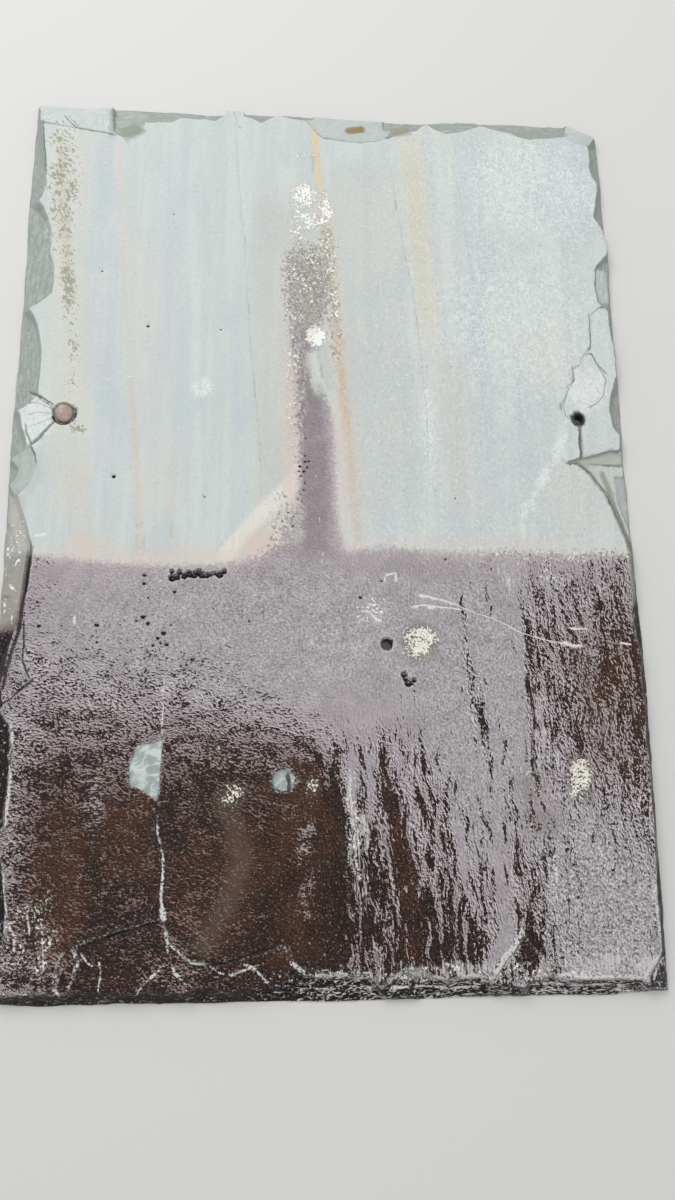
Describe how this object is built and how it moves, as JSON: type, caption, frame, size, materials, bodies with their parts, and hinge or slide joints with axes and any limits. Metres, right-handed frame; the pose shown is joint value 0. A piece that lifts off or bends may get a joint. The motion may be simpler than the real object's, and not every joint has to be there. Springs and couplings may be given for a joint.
{
  "type": "slate roof tile",
  "caption": "Flat rectangular roofing slate with hand-dressed bevelled edges, punched nail holes, a later third hole, and one copper nail left in its hole.",
  "frame": {"origin": "centre of the back face, the flat bed that the slate lies on", "axes": "+Z out of the weathered face, +Y to the head (the end under the course above), +X to the right with the head up"},
  "size_m": [0.305, 0.45, 0.008],
  "materials": {
    "slate": "riven and weathered, glossy where wet",
    "copper": "weathered copper, dull brown-pink"
  },
  "bodies": {
    "root": {"slate": "slate", "nail": "copper"}
  },
  "joints": []
}
